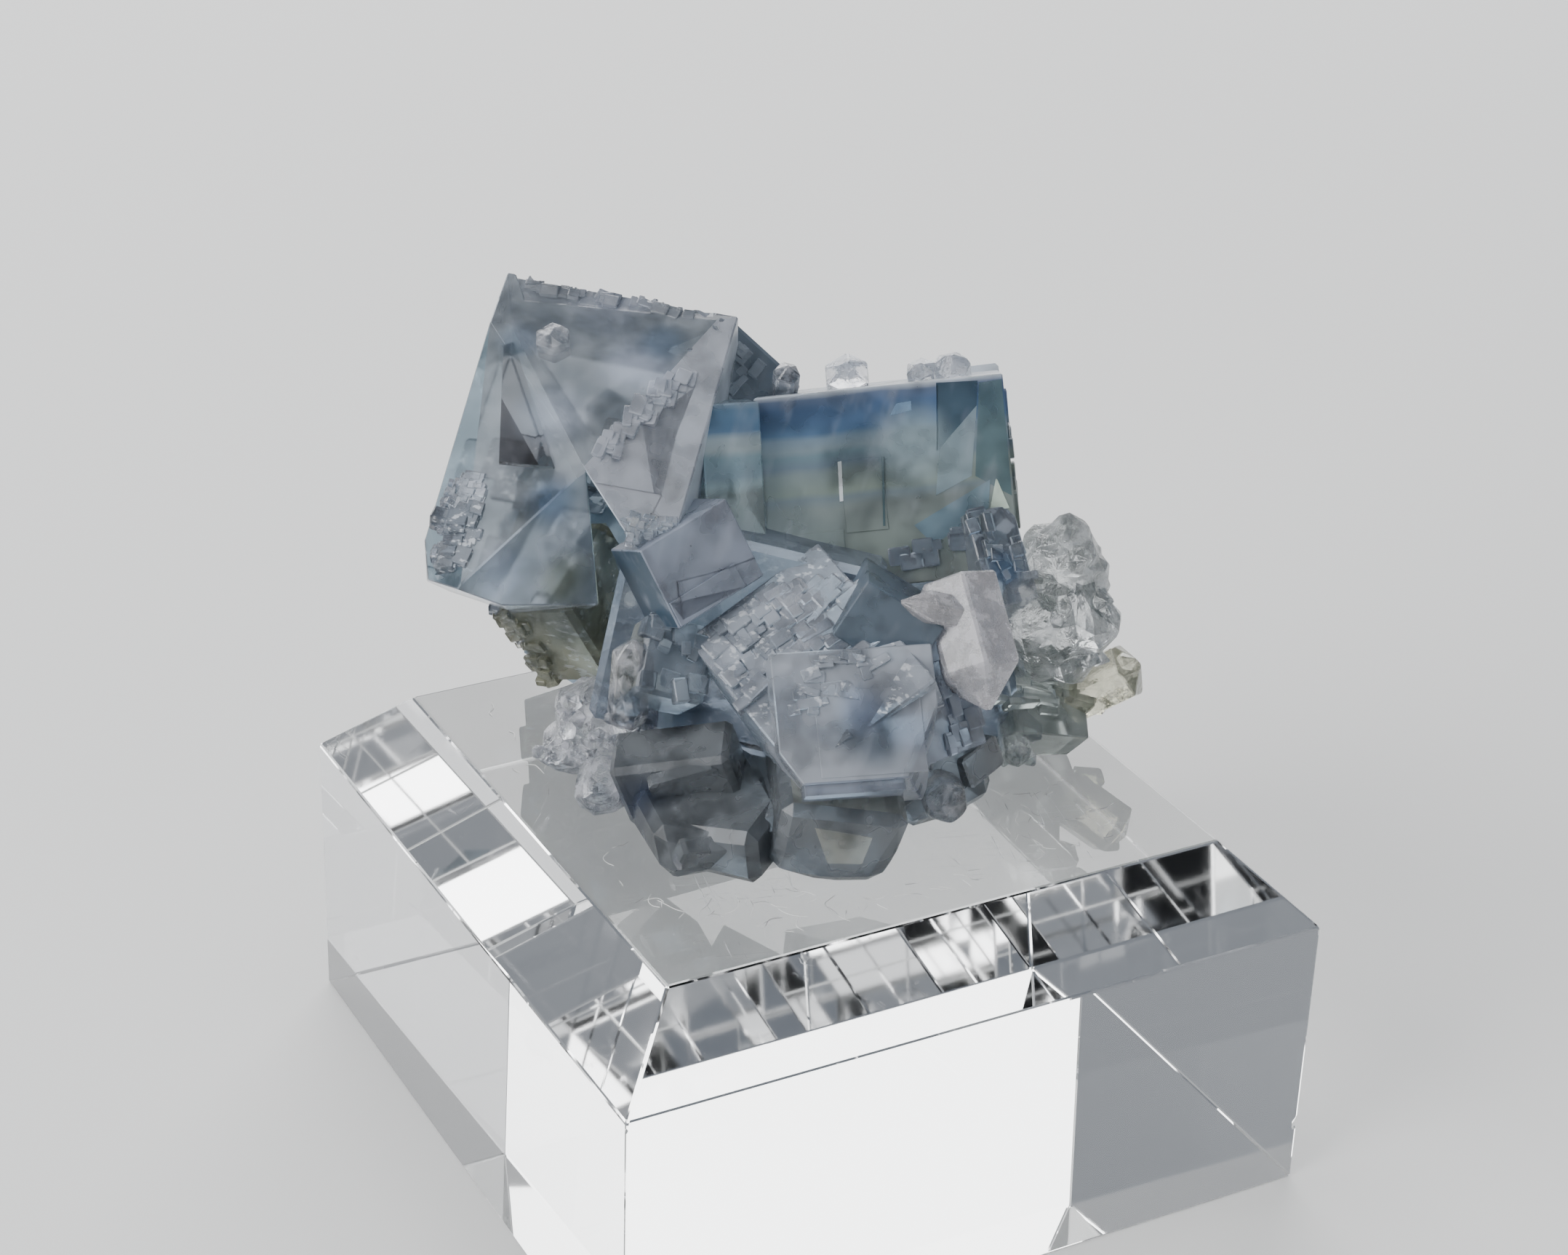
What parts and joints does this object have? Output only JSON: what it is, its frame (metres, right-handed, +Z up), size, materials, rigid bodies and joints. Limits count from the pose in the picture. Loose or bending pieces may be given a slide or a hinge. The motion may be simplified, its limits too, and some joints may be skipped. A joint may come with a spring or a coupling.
{
  "type": "mineral specimen on a display block",
  "caption": "Cluster of intergrown blue-grey fluorite cubes with small quartz crystals on it, standing on a bevelled clear acrylic block.",
  "frame": {"origin": "middle of the display block's underside", "axes": "+Z up; X and Y along the block's sides; the picture looks along about +X +Y, from azimuth -29 degrees and 27 degrees above level"},
  "size_m": [0.0508, 0.0508, 0.0562],
  "materials": {
    "acrylic": "polished clear, lightly scratched on top",
    "fluorite": "clear to frosted, blue-grey with teal bands",
    "quartz_clear": "clear, lightly etched",
    "quartz_milky": "milky with cream edges",
    "quartz_amber": "clear, pale straw"
  },
  "bodies": {
    "root": {"display_block": "acrylic", "fluorite_cluster": "fluorite", "quartz_crest": "quartz_clear", "quartz_crest_pair": "quartz_clear", "quartz_hexagon": "quartz_clear", "quartz_shoulder": "quartz_clear", "quartz_milky": "quartz_milky", "quartz_cluster_right": "quartz_clear", "quartz_amber_tip": "quartz_amber", "quartz_point_left": "quartz_clear", "quartz_druse_left": "quartz_clear", "quartz_bead": "quartz_clear", "quartz_sprigs_right": "quartz_clear"}
  },
  "joints": []
}
